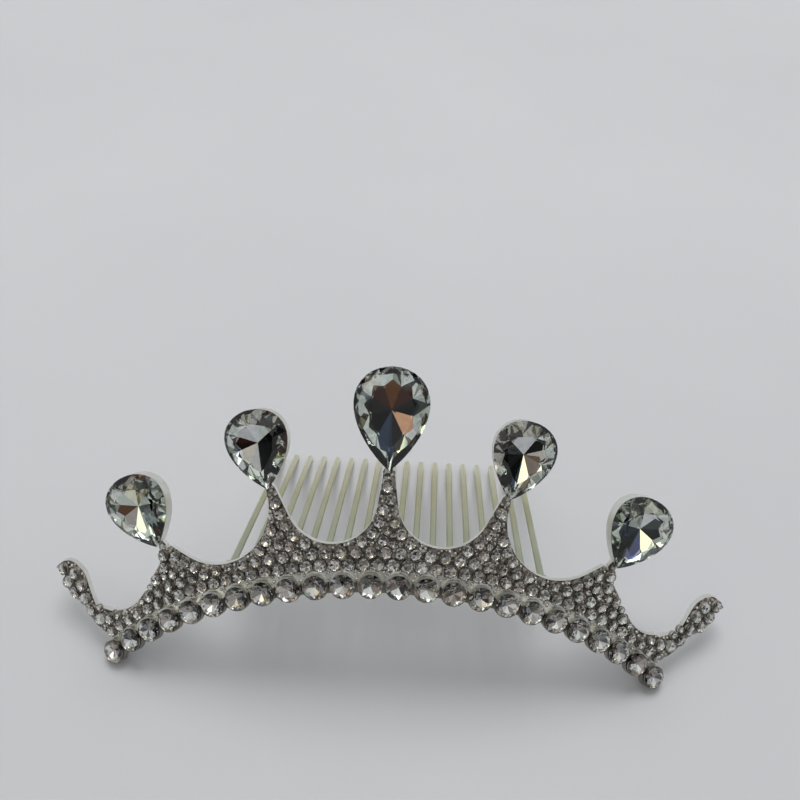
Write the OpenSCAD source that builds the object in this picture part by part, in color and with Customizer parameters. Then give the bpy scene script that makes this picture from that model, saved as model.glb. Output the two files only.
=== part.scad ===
// Tiara comb: a cast metal band with five posts, two end curls, a row of round crystals,
// five drop-shaped crystals, small crystals all over the band, and a comb behind it.
// It is drawn as it lies on a table, on its two end cups and the tips of its comb.
// Millimetres, +Z up, the front towards -Y, the origin under the middle of the part.
// A flat place on the band is [u, v]: u along the bend to the right, v up from the stones' arch.

/* [Band] */
// Radius of the band's bend round the head, at its front face
bend_r = 142; // [125:1:180]
// Radius of the arch that the round stones follow, seen from the front
arch_r = 85; // [80:0.5:92]
// Thickness of the cast plate
plate_t = 1.4; // [1.2:0.1:2]
// How far the plate reaches below the line of round stones
band_below = 1.5; // [1.2:0.1:1.8]

/* [Round stones] */
// Distance from one round stone to the next along the arch
stone_pitch = 5; // [4.9:0.05:5.2]
// Diameter of a round stone
stone_d = 4.5; // [4:0.1:4.6]
// Outer diameter of the cup that holds a round stone
cup_d = 4.8; // [4.7:0.1:4.9]
// Wall of a round cup
cup_wall = 0.3; // [0.25:0.05:0.4]
// Height of a round cup in front of the plate
cup_h = 0.9; // [0.6:0.1:1.4]
// Crown height of a round stone, from girdle to table
stone_crown = 0.8; // [0.5:0.1:1.2]
// Pavilion depth of a round stone, from girdle to culet
stone_pavilion = 1.5; // [1:0.1:1.6]

/* [Posts] */
// Angle round the arch from the middle post to the next one
mid_post_a = 12; // [11.4:0.1:12.6]
// Angle round the arch from the middle post to the outer one
outer_post_a = 26; // [25.2:0.1:26.8]
// Width of the middle post at its neck
middle_neck_w = 2.2; // [1.6:0.1:2.8]
// Width of the posts on either side of it at their necks
mid_neck_w = 1.6; // [1.3:0.1:2.2]
// Width of the outer posts at their necks
outer_neck_w = 1.7; // [1.4:0.1:2.2]

/* [Valleys] */
// Radius of the valley beside the middle post
inner_valley_r = 8.6; // [8:0.1:9]
// Height of its centre above the stones' arch
inner_valley_h = 16.1; // [15.8:0.1:17]
// Radius of the second valley
mid_valley_r = 11.3; // [10.6:0.1:11.6]
// Height of its centre above the stones' arch
mid_valley_h = 17.8; // [17.6:0.1:18.6]
// Radius of the valley beside the end curl
outer_valley_r = 7.9; // [7.4:0.1:8.2]
// Height of its centre above the stones' arch
outer_valley_h = 13.4; // [13.2:0.1:14]

/* [Drop stones] */
// Width of the middle drop stone
big_drop_w = 13.4; // [12:0.1:14]
// Length of the middle drop stone
big_drop_l = 18.3; // [17:0.1:19]
// Height of its tip above the stones' arch
big_drop_h = 21.2; // [20.5:0.1:22]
// Width of the four other drop stones
drop_w = 11.3; // [10.5:0.1:12]
// Length of the four other drop stones
drop_l = 14.5; // [13.5:0.1:15]
// Height of the tips of the two drops beside the middle one
mid_drop_h = 18.9; // [18.3:0.1:19.5]
// Height of the tips of the two outer drops
outer_drop_h = 13.7; // [13.2:0.1:14.3]
// Lean of the two drops beside the middle one, away from it
mid_drop_lean = 14.3; // [10:0.1:18]
// Lean of the two outer drops
outer_drop_lean = 28; // [22:0.1:30]
// Share of the band's own turn that the drop settings take
drop_turn = 0.15; // [0:0.05:1]
// Height of a drop setting in front of the plate
drop_cup_h = 1.6; // [1:0.1:2]
// Wall of a drop setting
drop_wall = 0.5; // [0.4:0.05:0.7]
// How far a drop stone overhangs its setting
drop_overhang = 0.15; // [0:0.05:0.25]
// Crown height of a drop stone
drop_crown = 1.9; // [1.4:0.1:2.4]
// Pavilion depth of a drop stone
drop_pavilion = 1.7; // [1.2:0.1:2]

/* [Curls] */
// How far an end curl reaches out past the last round stone
curl_reach = 17.8; // [16.5:0.1:19.5]
// How far an end curl rises above the last round stone
curl_rise = 13.5; // [12.8:0.1:14.2]
// Full width of the end curl's leaf where it is widest
curl_w = 6.2; // [5.6:0.1:6.6]
// Turn of the left curl, upwards
left_curl_turn = 4; // [0:0.5:8]
// Turn of the right curl, upwards
right_curl_turn = -5; // [-8:0.5:0]

/* [Small stones] */
// Diameter of a small stone
pave_d = 2.2; // [1.9:0.05:2.3]
// Diameter below which a place stays bare metal
pave_min_d = 1.05; // [0.9:0.05:1.3]
// Bare rim of metal beside the outer small stones
pave_rim = 0.16; // [0.12:0.01:0.3]
// Crown height of a small stone
pave_crown = 0.35; // [0.25:0.05:0.5]
// Pavilion depth of a small stone
pave_pavilion = 0.5; // [0.35:0.05:0.7]

/* [Comb] */
// Distance from tooth to tooth
tooth_pitch = 3.41; // [3.2:0.01:3.5]
// Diameter of a tooth
tooth_d = 1.3; // [1.1:0.1:1.5]
// Length of a tooth from the middle of the spine to its tip
tooth_l = 50; // [44:0.5:56]
// Angle at which the teeth rise from the band's own depth direction
tooth_rise = 16.2; // [13:0.1:18]
// Turn of the teeth in their own plane
tooth_turn = 1.6; // [0:0.1:2.5]
// Height of the teeth's roots above the stones' arch at the middle
tooth_root_h = -0.2; // [-0.4:0.1:0.4]
// Height of the spine
spine_h = 2.3; // [2:0.1:2.8]
// Depth of the spine
spine_t = 1.6; // [1.4:0.1:2]

/* [Clearances] */
// Clearance between a stone and what it is seated in
seat_gap = 0.1; // [0.1:0.01:0.2]
// Clearance between neighbouring small stones
pave_gap = 0.12; // [0.1:0.01:0.2]

/* [Hidden] */
STONE_N = 24;
TOOTH_N = 18;
SIDES = [-2, -1, 0, 1, 2];
function round_name(i) = str("round_stone_", i < 10 ? "0" : "", i);
function drop_name(i) = str("drop_stone_", i);

// Thickness of a stone's girdle
girdle_t = 0.25;
pave_girdle = 0.1;
// Depth by which solids that are one casting run into each other
weld = 0.4;
// Sharpness of a drop's tip: 0 is a circle
tip_power = 0.8;
// Points round a drop's outline, and the number of main facets of each kind of stone
drop_points = 48;
drop_facets = 10;
round_facets = 8;
pave_facets = 5;
// Width of a table as a share of its stone
round_table = 0.58;
pave_table = 0.6;

// Height of a stone's girdle above its rim, at which its pavilion clears the rim's inner edge
rim_clear = 1.9 * seat_gap;
stone_lift = stone_pavilion * (1 - (cup_d / 2 - cup_wall - rim_clear) / (stone_d / 2));
function drop_lift(w) = drop_pavilion * (drop_overhang + drop_wall + 2.5 * rim_clear) / (w / 2);

// Places on the band
function bend_a(u) = u / bend_r * 180 / PI;
function on_arch(a, h) = [(arch_r + h) * sin(a), (arch_r + h) * cos(a) - arch_r];
function seen(p) = [bend_r * sin(bend_a(p.x)), p.y];
function in_depth(p, d) = [(bend_r - d) * sin(bend_a(p.x)), bend_r - (bend_r - d) * cos(bend_a(p.x)), p.y];
pitch_a = stone_pitch / arch_r * 180 / PI;
function stone_a(i) = (i - (STONE_N + 1) / 2) * pitch_a;
end_a = stone_a(STONE_N);
end_place = on_arch(end_a, 0);

// Posts: one row for each side, with the angle, tip height, lean, neck, width and length
function post(s) =
    s == 0 ? [0, big_drop_h, 0, middle_neck_w, big_drop_w, big_drop_l]
    : abs(s) == 1 ? [s * mid_post_a, mid_drop_h, s * mid_drop_lean, mid_neck_w, drop_w, drop_l]
    : [sign(s) * outer_post_a, outer_drop_h, sign(s) * outer_drop_lean, outer_neck_w, drop_w, drop_l];

// Edge of a post's neck, on the side away from or towards the middle, at the height of its tip
function neck_edge(s, side) =
    let (a = post(s)[0])
    on_arch(a, post(s)[1]) + side * post(s)[3] / 2 * [cos(a), -sin(a)];

// Lean at which a line from p touches the right side of a valley
function lean_to(p, a, h, r) =
    let (q = p - on_arch(a, h))
    acos(r / norm(q)) - atan2(q.y, q.x);

// Valleys on the right half: angle, height, radius, and the lean of the left and the right side
post_flare = 8;
outer_valley_left = 30;
outer_valley_right = 45;
valley_share = [0.49, 0.48, 0.59];
valley_a = [
    valley_share[0] * mid_post_a,
    mid_post_a + valley_share[1] * (outer_post_a - mid_post_a),
    outer_post_a + valley_share[2] * (end_a - outer_post_a)
];
valleys = [
    [valley_a[0], inner_valley_h, inner_valley_r, post_flare,
        lean_to(neck_edge(1, -1), valley_a[0], inner_valley_h, inner_valley_r)],
    [valley_a[1], mid_valley_h, mid_valley_r, post_flare - mid_post_a,
        lean_to(neck_edge(2, -1), valley_a[1], mid_valley_h, mid_valley_r)],
    [valley_a[2], outer_valley_h, outer_valley_r, outer_valley_left, outer_valley_right]
];
valley_step = 6;
function valley_c(k) = on_arch(valleys[k][0], valleys[k][1]);

// The valley beside the curl stops at the outer post's edge, a line through a place at a small lean
edge_lean = 8;
function past_edge(p) = (neck_edge(2, 1) - p) * [cos(edge_lean), -sin(edge_lean)];
function valley_side(k, reach) =
    let (c = valley_c(k), r = valleys[k][2], l = valleys[k][3])
    c + r * [-cos(l), -sin(l)] + reach * [-sin(l), cos(l)];
function edge_reach(k) =
    past_edge(valley_side(k, 0)) / (past_edge(valley_side(k, 0)) - past_edge(valley_side(k, 1)));
function valley_top(k, top) =
    k < 2 ? [valley_side(k, top)]
    : [
        valley_side(k, edge_reach(k)) + top * [sin(edge_lean), cos(edge_lean)],
        valley_side(k, edge_reach(k))
    ];
function valley_outline(k) =
    let (c = valley_c(k), r = valleys[k][2], l = valleys[k][3], m = valleys[k][4])
    let (n = ceil((180 - l - m) / valley_step), top = 3 * r)
    concat(
        valley_top(k, top),
        [for (i = [0 : n]) let (a = l - 90 + (180 - l - m) * i / n) c + r * [sin(a), -cos(a)]],
        [c + r * [cos(m), -sin(m)] + top * [sin(m), cos(m)]]
    );

// Room between a place and the nearest valley, or within the neck of the nearest post
function valley_room(p, k) =
    let (q = p - valley_c(k), r = valleys[k][2], l = valleys[k][3], m = valleys[k][4])
    let (a = atan2(q.x, -q.y))
    let (beside = max(q * [-cos(l), -sin(l)], q * [cos(m), -sin(m)]))
    let (free = (a > l - 90 && a < 90 - m ? norm(q) : beside) - r)
    k < 2 ? free : max(free, past_edge(p));
function neck_room(p, s) =
    let (a = post(s)[0])
    post(s)[3] / 2 - abs((p - on_arch(a, 0)) * [cos(a), -sin(a)]);
function room(p) =
    let (q = [abs(p.x), p.y])
    max(min([for (k = [0 : 2]) valley_room(q, k)]), max([for (s = [0 : 2]) neck_room(q, s)]));

// End curl: share of its reach, share of its rise, half width as a share of curl_w
curl_rows = [
    [-0.024, 0.335, 0.45],
    [0.252, 0.415, 0.325],
    [0.37, 0.487, 0.215],
    [0.463, 0.61, 0.265],
    [0.556, 0.71, 0.40],
    [0.663, 0.83, 0.50],
    [0.76, 0.935, 0.40],
    [0.862, 0.965, 0.235],
    [1.00, 0.925, 0.02]
];
curl_smooth = 4;
curl_root = 1;
function curl_row(i, side) =
    let (row = curl_rows[max(0, min(len(curl_rows) - 1, i))], root = curl_rows[curl_root])
    let (turn = i <= curl_root ? 0 : side < 0 ? left_curl_turn : right_curl_turn)
    let (out = (row[0] - root[0]) * curl_reach, rise = (row[1] - root[1]) * curl_rise)
    [
        root[0] * curl_reach + out * cos(turn) - rise * sin(turn),
        root[1] * curl_rise + out * sin(turn) + rise * cos(turn),
        row[2] * curl_w
    ];
function blend(a, b, c, d, t) =
    0.5 * (2 * b + (c - a) * t + (2 * a - 5 * b + 4 * c - d) * t * t + (3 * b - a - 3 * c + d) * t * t * t);
function curl_at(s, side) =
    let (i = min(floor(s), len(curl_rows) - 2))
    blend(curl_row(i - 1, side), curl_row(i, side), curl_row(i + 1, side), curl_row(i + 2, side), s - i);
function curl_place(s, side) = let (row = curl_at(s, side)) end_place + [row[0], row[1]];
function curl_across(s, side) =
    let (d = curl_place(min(s + 0.05, len(curl_rows) - 1), side) - curl_place(max(s - 0.05, 0), side))
    [-d.y, d.x] / norm(d);
function curl_edge(s, side, k) = curl_place(s, side) + k * curl_at(s, side)[2] * curl_across(s, side);
curl_steps = [for (i = [0 : curl_smooth * (len(curl_rows) - 1)]) i / curl_smooth];
function curl_outline(side) = concat(
    [for (s = curl_steps) curl_edge(s, side, 1)],
    [for (i = [len(curl_steps) - 1 : -1 : 0]) curl_edge(curl_steps[i], side, -1)]
);

// Outline of a drop, tip at [0, 0] and round end up
widest_t = 2 * atan(sqrt(1 + tip_power));
function drop_bulge(t) = sin(t) * pow(abs(sin(t / 2)), tip_power);
function drop_outline(w, l, n, turn = 0) = [
    for (i = [0 : n - 1])
        let (t = 360 * (i + turn) / n)
        [-w / 2 * drop_bulge(t) / drop_bulge(widest_t), l * (1 - cos(t)) / 2]
];
function drop_inside(w, l, n, inset, turn = 0) = [
    for (p = drop_outline(w - 2 * inset, l - 2.6 * inset, n, turn)) p + [0, 1.6 * inset]
];

// Places of the small stones: each is [place, diameter]
function round_a(p) = atan2(p.x, p.y + arch_r);
function above_arch(p) = norm([p.x, p.y + arch_r]) - arch_r;
function cup_room(p) = min([for (i = [1 : STONE_N]) norm(p - on_arch(stone_a(i), 0))]) - cup_d / 2;
function fitted(p, d) = [p, min(d, 2 * (room(p) - pave_rim), 2 * (cup_room(p) - pave_gap))];
function fits(one, others) =
    one[1] > pave_min_d
    && len([for (o = others) if (norm(one[0] - o[0]) < (one[1] + o[1]) / 2 + pave_gap) 1]) == 0;
function settled(list, i, kept) =
    i == len(list) ? kept
    : settled(list, i + 1, fits(list[i], kept) ? concat(kept, [list[i]]) : kept);
function graded(pair, a) = pair[0] + (pair[1] - pair[0]) * abs(a) / end_a;

// A place holds a stone that keeps clear of the edges, of the round cups and of the drop above it
post_tip_gap = 1.6;
place_slack = 0.01;
function tip_over(p) =
    let (a = abs(round_a(p)))
    a < mid_post_a / 2 ? big_drop_h
    : a < (mid_post_a + outer_post_a) / 2 ? mid_drop_h
    : outer_drop_h;
function holds(p, d) =
    abs(round_a(p)) < end_a
    && above_arch(p) < tip_over(p) - post_tip_gap - pave_min_d / 2
    && room(p) > d / 2 + pave_rim - place_slack
    && cup_room(p) > d / 2 + pave_gap - place_slack;

// Two rows follow the arch above the round stones, smaller and closer towards the ends
lower_row_h = [3.8, 3.45];
upper_row_h = [6.05, 5.45];
lower_row_d = [1.09 * pave_d, 0.93 * pave_d];
upper_row_d = [pave_d, 0.86 * pave_d];
function lower_row() = [
    for (j = [1 - STONE_N : STONE_N - 2])
        let (a = (j + 0.5) * pitch_a / 2)
        fitted(on_arch(a, graded(lower_row_h, a)), graded(lower_row_d, a))
];
function upper_row() = [
    for (j = [1 - STONE_N : STONE_N - 1])
        let (a = j * pitch_a / 2)
        fitted(on_arch(a, graded(upper_row_h, a)), graded(upper_row_d, a))
];

// A row follows each valley's edge from its bottom up to the posts, as close as the stones fit
edge_row_d = 0.93 * pave_d;
edge_turn = 2;
edge_step = 0.2;
edge_rise = 13;
function valley_row(k) =
    let (c = valley_c(k), o = valleys[k][2] + pave_rim + edge_row_d / 2)
    let (l = valleys[k][3], m = valleys[k][4], low = -valleys[k][0])
    concat(
        [for (a = [low : edge_turn : 90 - m]) c + o * [sin(a), -cos(a)]],
        [for (w = [0 : edge_step : edge_rise]) c + o * [cos(m), -sin(m)] + w * [sin(m), cos(m)]],
        [for (a = [low : -edge_turn : l - 90]) c + o * [sin(a), -cos(a)]],
        [for (w = [0 : edge_step : edge_rise]) c + o * [-cos(l), -sin(l)] + w * [-sin(l), cos(l)]]
    );
function outer_edge_row() =
    let (start = neck_edge(2, 1) - (pave_rim + edge_row_d / 2) * [cos(edge_lean), -sin(edge_lean)])
    [for (w = [0 : edge_step : edge_rise]) start - w * [sin(edge_lean), cos(edge_lean)]];
function edge_rows() = [
    for (list = [valley_row(0), valley_row(1), outer_edge_row(), valley_row(2)], p = list)
        if (holds(p, edge_row_d))
            for (side = [-1, 1]) [[side * p.x, p.y], edge_row_d]
];

// On a post, rows across it follow each other up to its neck, where one stone sits on the axis
post_row_share = 0.88;
function post_stones(s) =
    let (a = post(s)[0], wide = pave_d + pave_gap, step = post_row_share * wide)
    let (first = graded(upper_row_h, a) + step, n = floor((post(s)[1] - post_tip_gap - first) / step))
    [
        for (j = [0 : n])
            let (axis = on_arch(a, first + j * step))
            let (one = room(axis) < step)
            for (i = one ? [0] : [0, 1, -1, 2, -2])
                fitted(axis + (i + (one ? 0 : (j % 2) / 2)) * wide * [cos(a), -sin(a)], pave_d)
    ];

// On a curl, one or two stones side by side, nearer to its outer edge; a pair may be a little smaller
curl_pave_d = 1.15 * pave_d;
pair_share = 0.8;
curl_pave_step = 0.1;
curl_pave_end = 0.8;
curl_cover = 0.9;
curl_shift = 0.04;
function curl_stones(side) = [
    for (s = [0 : curl_pave_step : len(curl_rows) - 1 - curl_pave_end])
        let (h = curl_at(s, side)[2], wide = curl_cover * h)
        let (pair = wide > pair_share * curl_pave_d + pave_gap / 2)
        let (d = min(curl_pave_d, pair ? wide - pave_gap / 2 : 2 * wide))
        for (k = pair ? [-1, 1] : [0])
            let (p = curl_place(s, side) + (k * (d + pave_gap) / 2 - curl_shift * h) * curl_across(s, side))
            [[side * p.x, p.y], min(d, 2 * (cup_room(p) - pave_gap))]
];

// Smaller stones fill the bare places that are left, tried on a close grid that follows the arch
fill_step = 0.6;
fill_sizes = [0.85, 0.7, 0.55];
fill_depth = 3;
function fill_places(d) = [
    for (h = [lower_row_h[1] : fill_step : big_drop_h], w = [-end_a : fill_step / arch_r * 180 / PI : end_a])
        let (p = on_arch(w, h))
        if (holds(p, d) && room(p) < fill_depth * pave_d) [p, d]
];
function filled(i, kept) =
    i == len(fill_sizes) ? kept
    : filled(i + 1, settled(fill_places(fill_sizes[i] * pave_d), 0, kept));
function small_stones() = filled(0, settled(
    concat(
        lower_row(),
        curl_stones(-1),
        curl_stones(1),
        upper_row(),
        edge_rows(),
        [for (s = SIDES) each post_stones(s)]
    ),
    0, []
));

// Rest: the tilt at which the end cups and the lowest tooth tip touch the table together
end_cup = in_depth(end_place, weld);
end_edge = in_depth(on_arch(end_a, -band_below), plate_t);
function tooth_tip(i) =
    let (x = (i - (TOOTH_N + 1) / 2) * tooth_pitch)
    let (along = tooth_l * cos(tooth_turn) - x * sin(tooth_turn))
    [
        x * cos(tooth_turn) + tooth_l * sin(tooth_turn),
        plate_t + spine_t / 2 + along * cos(tooth_rise),
        tooth_root_h + along * sin(tooth_rise)
    ];
function height(p, tilt) = p.z * cos(tilt) - p.y * sin(tilt);
function reach(p, tilt) = p.y * cos(tilt) + p.z * sin(tilt);
function disc_drop(along_axis) = sqrt(1 - along_axis * along_axis);
function band_low(tilt) = min(
    height(end_cup, tilt) - cup_d / 2 * disc_drop(cos(bend_a(end_place.x)) * sin(tilt)),
    height(end_edge, tilt)
);
function comb_low(tilt) = min([for (i = [1 : TOOTH_N]) height(tooth_tip(i), tilt)]) - tooth_d / 2;
function rest_tilt(low, high, n) =
    let (mid = (low + high) / 2)
    n == 0 ? mid
    : comb_low(mid) > band_low(mid) ? rest_tilt(mid, high, n - 1)
    : rest_tilt(low, mid, n - 1);
tilt = rest_tilt(20, 60, 40);
stone_front = in_depth(end_place, -cup_h - stone_lift - girdle_t);
y_front = reach(stone_front, tilt) - stone_d / 2 * disc_drop(cos(bend_a(end_place.x)) * cos(tilt));
y_back = max([for (i = [1 : TOOTH_N]) reach(tooth_tip(i), tilt)]) + tooth_d / 2;

module at_rest() {
    translate([0, -(y_front + y_back) / 2, -band_low(tilt)])
        rotate([-tilt, 0, 0])
            children();
}

// Puts children, drawn round [0, 0] with -Y to the front, at a flat place on the band's front face
module on_band(p) {
    translate([0, bend_r, 0])
        rotate([0, 0, bend_a(p.x)])
            translate([0, -bend_r, p.y])
                children();
}

module on_post(s) {
    tip = on_arch(post(s)[0], post(s)[1]);
    on_band(tip)
        rotate([0, 0, (drop_turn - 1) * bend_a(tip.x)])
            rotate([0, post(s)[2], 0])
                children();
}

// Cut stone: n table corners, 2n girdle corners, a culet; the front towards -Y, girdle's back at y = 0
module cut_stone(table, girdle, culet, crown, band, pavilion) {
    n = len(table);
    m = 2 * n;
    ring = function (list, y) [for (p = list) [p.x, y, p.y]];
    front = [for (i = [0 : n - 1]) each [
        [i, n + 2 * i, n + (2 * i + 1) % m],
        [i, n + (2 * i + 1) % m, (i + 1) % n],
        [(i + 1) % n, n + (2 * i + 1) % m, n + (2 * i + 2) % m]
    ]];
    sides = [for (i = [0 : m - 1]) each [
        [n + i, n + m + i, n + m + (i + 1) % m],
        [n + i, n + m + (i + 1) % m, n + (i + 1) % m]
    ]];
    back = [for (i = [0 : m - 1]) [n + m + i, n + 2 * m, n + m + (i + 1) % m]];
    polyhedron(
        points = concat(
            ring(table, -band - crown), ring(girdle, -band), ring(girdle, 0), [[culet.x, pavilion, culet.y]]
        ),
        faces = concat([[for (i = [0 : n - 1]) i]], front, sides, back)
    );
}

function round_outline(d, n) = [for (i = [0 : n - 1]) d / 2 * [sin(360 * i / n), cos(360 * i / n)]];

module round_cut(d, n, share, crown, band, pavilion) {
    cut_stone(round_outline(share * d, n), round_outline(d, 2 * n), [0, 0], crown, band, pavilion);
}

module plate_outline() {
    ring_step = 1.5;
    post_reach = 3;
    end_rise = 6.8;
    shoulder = 1;
    neck_foot = 2;
    neck_taper = 0.5;
    neck_top = 0.3;
    function arc(h, from, to) = [
        for (i = [0 : ceil((to - from) / ring_step)])
            on_arch(from + (to - from) * i / ceil((to - from) / ring_step), h)
    ];
    function back(list) = [for (i = [len(list) - 1 : -1 : 0]) list[i]];
    function sector(low, high, a) =
        [for (p = concat(arc(low, -a, a), back(arc(high, -a, a)))) seen(p)];
    difference() {
        union() {
            polygon(sector(-band_below, end_rise, end_a));
            polygon(sector(0, outer_drop_h - shoulder, outer_post_a + post_reach));
            polygon(sector(0, mid_drop_h, mid_post_a + post_reach));
            polygon(sector(0, big_drop_h, post_reach));
        }
        for (side = [-1, 1], k = [0 : 2])
            polygon([for (p = valley_outline(k)) seen([side * p.x, p.y])]);
    }
    for (s = SIDES) {
        a = post(s)[0];
        h = post(s)[1];
        half = post(s)[3] / 2;
        right = [[1, neck_foot], [1, h - neck_taper], [neck_top, h + shoulder]];
        corners = concat(right, [for (c = back(right)) [-c.x, c.y]]);
        polygon([for (c = corners) seen(on_arch(a, c.y) + c.x * half * [cos(a), -sin(a)])]);
    }
    for (side = [-1, 1])
        polygon([for (p = curl_outline(side)) seen([side * p.x, p.y])]);
}

module plate() {
    tall = 3 * arch_r;
    intersection() {
        translate([0, bend_r, 0])
            rotate([90, 0, 0])
                linear_extrude(bend_r + weld)
                    plate_outline();
        translate([0, bend_r, -tall / 2])
            difference() {
                cylinder(h = tall, r = bend_r, $fn = 360);
                translate([0, 0, -1])
                    cylinder(h = tall + 2, r = bend_r - plate_t, $fn = 360);
            }
    }
}

module round_cup() {
    rotate([90, 0, 0])
        translate([0, 0, -weld])
            cylinder(h = cup_h + weld, r = cup_d / 2, $fn = 48);
}

module round_pocket() {
    depth = min(stone_pavilion + seat_gap, cup_h + plate_t - 0.3);
    rotate([90, 0, 0])
        translate([0, 0, cup_h - depth])
            cylinder(h = depth + 1, r = cup_d / 2 - cup_wall, $fn = 48);
}

module drop_cup(s) {
    w = post(s)[4];
    l = post(s)[5];
    rotate([90, 0, 0])
        translate([0, 0, -plate_t])
            linear_extrude(drop_cup_h + plate_t)
                polygon(drop_inside(w, l, drop_points, drop_overhang));
}

module drop_pocket(s) {
    w = post(s)[4];
    l = post(s)[5];
    depth = min(drop_pavilion + 2 * seat_gap, drop_cup_h + plate_t - 0.4);
    rotate([90, 0, 0])
        translate([0, 0, drop_cup_h - depth])
            linear_extrude(depth + 1)
                polygon(drop_inside(w, l, drop_points, drop_overhang + drop_wall));
}

module frame() {
    color("silver")
        at_rest()
            difference() {
                union() {
                    plate();
                    for (i = [1 : STONE_N])
                        on_band(on_arch(stone_a(i), 0)) round_cup();
                    for (s = SIDES)
                        on_post(s) drop_cup(s);
                }
                for (i = [1 : STONE_N])
                    on_band(on_arch(stone_a(i), 0)) round_pocket();
                for (s = SIDES)
                    on_post(s) drop_pocket(s);
            }
}

module comb() {
    spine_r = bend_r - plate_t - seat_gap;
    end_x = (TOOTH_N / 2 - 0.2) * tooth_pitch;
    root = plate_t + spine_t / 2;
    color("lightgray")
        at_rest() {
            intersection() {
                translate([0, bend_r, tooth_root_h + 0.3 - spine_h / 2])
                    difference() {
                        cylinder(h = spine_h, r = spine_r, $fn = 360);
                        translate([0, 0, -1])
                            cylinder(h = spine_h + 2, r = spine_r - spine_t, $fn = 360);
                    }
                translate([-end_x, -1, -spine_h])
                    cube([2 * end_x, arch_r / 4, 3 * spine_h]);
            }
            translate([0, root, tooth_root_h])
                rotate([tooth_rise, 0, 0])
                    rotate([0, 0, -tooth_turn])
                        for (i = [1 : TOOTH_N])
                            tooth((i - (TOOTH_N + 1) / 2) * tooth_pitch, spine_r - spine_t / 2);
        }
}

// One tooth at x; it starts in the middle of the bent spine, whose middle has radius r
module tooth(x, r) {
    start = (r - sqrt(r * r - x * x)) / cos(tooth_rise) + x * sin(tooth_turn);
    translate([x, start, 0])
        rotate([-90, 0, 0])
            cylinder(h = tooth_l - start, r = tooth_d / 2, $fn = 24);
    translate([x, tooth_l, 0])
        rotate([-90, 0, 0])
            sphere(r = tooth_d / 2, $fn = 24);
}

module drop_stone(s) {
    w = post(s)[4];
    l = post(s)[5];
    table_inset = 0.21 * w;
    color("lightblue")
        at_rest()
            on_post(s)
                translate([0, -drop_cup_h - drop_lift(w), 0])
                    cut_stone(
                        drop_inside(w, l, drop_facets, table_inset),
                        drop_outline(w, l, 2 * drop_facets),
                        [0, 0.6 * l],
                        drop_crown, girdle_t, drop_pavilion
                    );
}

module round_stone(i) {
    color("lightcyan")
        at_rest()
            on_band(on_arch(stone_a(i), 0))
                translate([0, -cup_h - stone_lift, 0])
                    round_cut(stone_d, round_facets, round_table, stone_crown, girdle_t, stone_pavilion);
}

module small_stone(d) {
    translate([0, -pave_pavilion - seat_gap, 0])
        round_cut(d, pave_facets, pave_table, pave_crown, pave_girdle, pave_pavilion);
}

module pave(side) {
    stones = small_stones();
    color("lavender")
        at_rest()
            for (one = stones)
                if ((side < 0) == (one[0].x < 0))
                    on_band(one[0])
                        small_stone(one[1]);
}

frame();
comb();
pave(-1);  // pave_left
pave(1);  // pave_right
for (i = [1 : len(SIDES)])
    drop_stone(SIDES[i - 1]);
for (i = [1 : STONE_N])
    round_stone(i);
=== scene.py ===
import math
import random

import bpy
import numpy as np
from mathutils import Matrix, Vector
from mathutils.bvhtree import BVHTree
from mathutils.kdtree import KDTree


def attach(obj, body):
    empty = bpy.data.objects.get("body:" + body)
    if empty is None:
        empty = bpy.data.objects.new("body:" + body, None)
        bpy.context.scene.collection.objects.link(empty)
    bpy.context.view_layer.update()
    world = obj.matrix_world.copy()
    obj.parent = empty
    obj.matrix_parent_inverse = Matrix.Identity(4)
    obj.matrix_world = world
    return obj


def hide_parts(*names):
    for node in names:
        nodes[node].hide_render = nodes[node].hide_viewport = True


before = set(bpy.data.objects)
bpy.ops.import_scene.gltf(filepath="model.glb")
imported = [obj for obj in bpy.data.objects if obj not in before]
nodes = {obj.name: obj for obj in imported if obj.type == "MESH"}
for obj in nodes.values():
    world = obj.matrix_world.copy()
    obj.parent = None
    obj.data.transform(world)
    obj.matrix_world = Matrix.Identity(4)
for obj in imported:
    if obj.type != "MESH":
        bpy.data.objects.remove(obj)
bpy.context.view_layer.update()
scene = bpy.context.scene
toMetres = 0.001
print("frame loaded,", len(nodes), "nodes")


# Shader helpers
def addNode(tree, kind, place=(0, 0), **values):
    made = tree.nodes.new(kind)
    made.location = place
    for name, value in values.items():
        setattr(made, name, value)
    return made


def wire(tree, source, target):
    tree.links.new(source, target)


def newMaterial(name):
    material = bpy.data.materials.new(name)
    material.use_nodes = True
    shader = material.node_tree.nodes["Principled BSDF"]
    return material, material.node_tree, shader


def setRamp(ramp, stops, interpolation="LINEAR"):
    ramp.color_ramp.interpolation = interpolation
    elements = ramp.color_ramp.elements
    while len(elements) < len(stops):
        elements.new(0.5)
    for element, (position, colour) in zip(elements, stops):
        element.position = position
        element.color = (*colour, 1)


def calculate(tree, operation, *values):
    # One math node; a value is a number or another node's output
    made = addNode(tree, "ShaderNodeMath", operation=operation)
    for socket, value in zip(made.inputs, values):
        if isinstance(value, (int, float)):
            socket.default_value = value
        else:
            wire(tree, value, socket)
    return made.outputs["Value"]


def overlay(tree, under, factor, over, place=(0, 0), **values):
    # Mixes a colour over another; the one on top is a colour or another node's output
    mix = addNode(tree, "ShaderNodeMix", place, data_type="RGBA", **values)
    wire(tree, under, mix.inputs["A"])
    if isinstance(factor, (int, float)):
        mix.inputs["Factor"].default_value = factor
    else:
        wire(tree, factor, mix.inputs["Factor"])
    if isinstance(over, tuple):
        mix.inputs["B"].default_value = (*over, 1)
    else:
        wire(tree, over, mix.inputs["B"])
    return mix.outputs["Result"]


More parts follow.
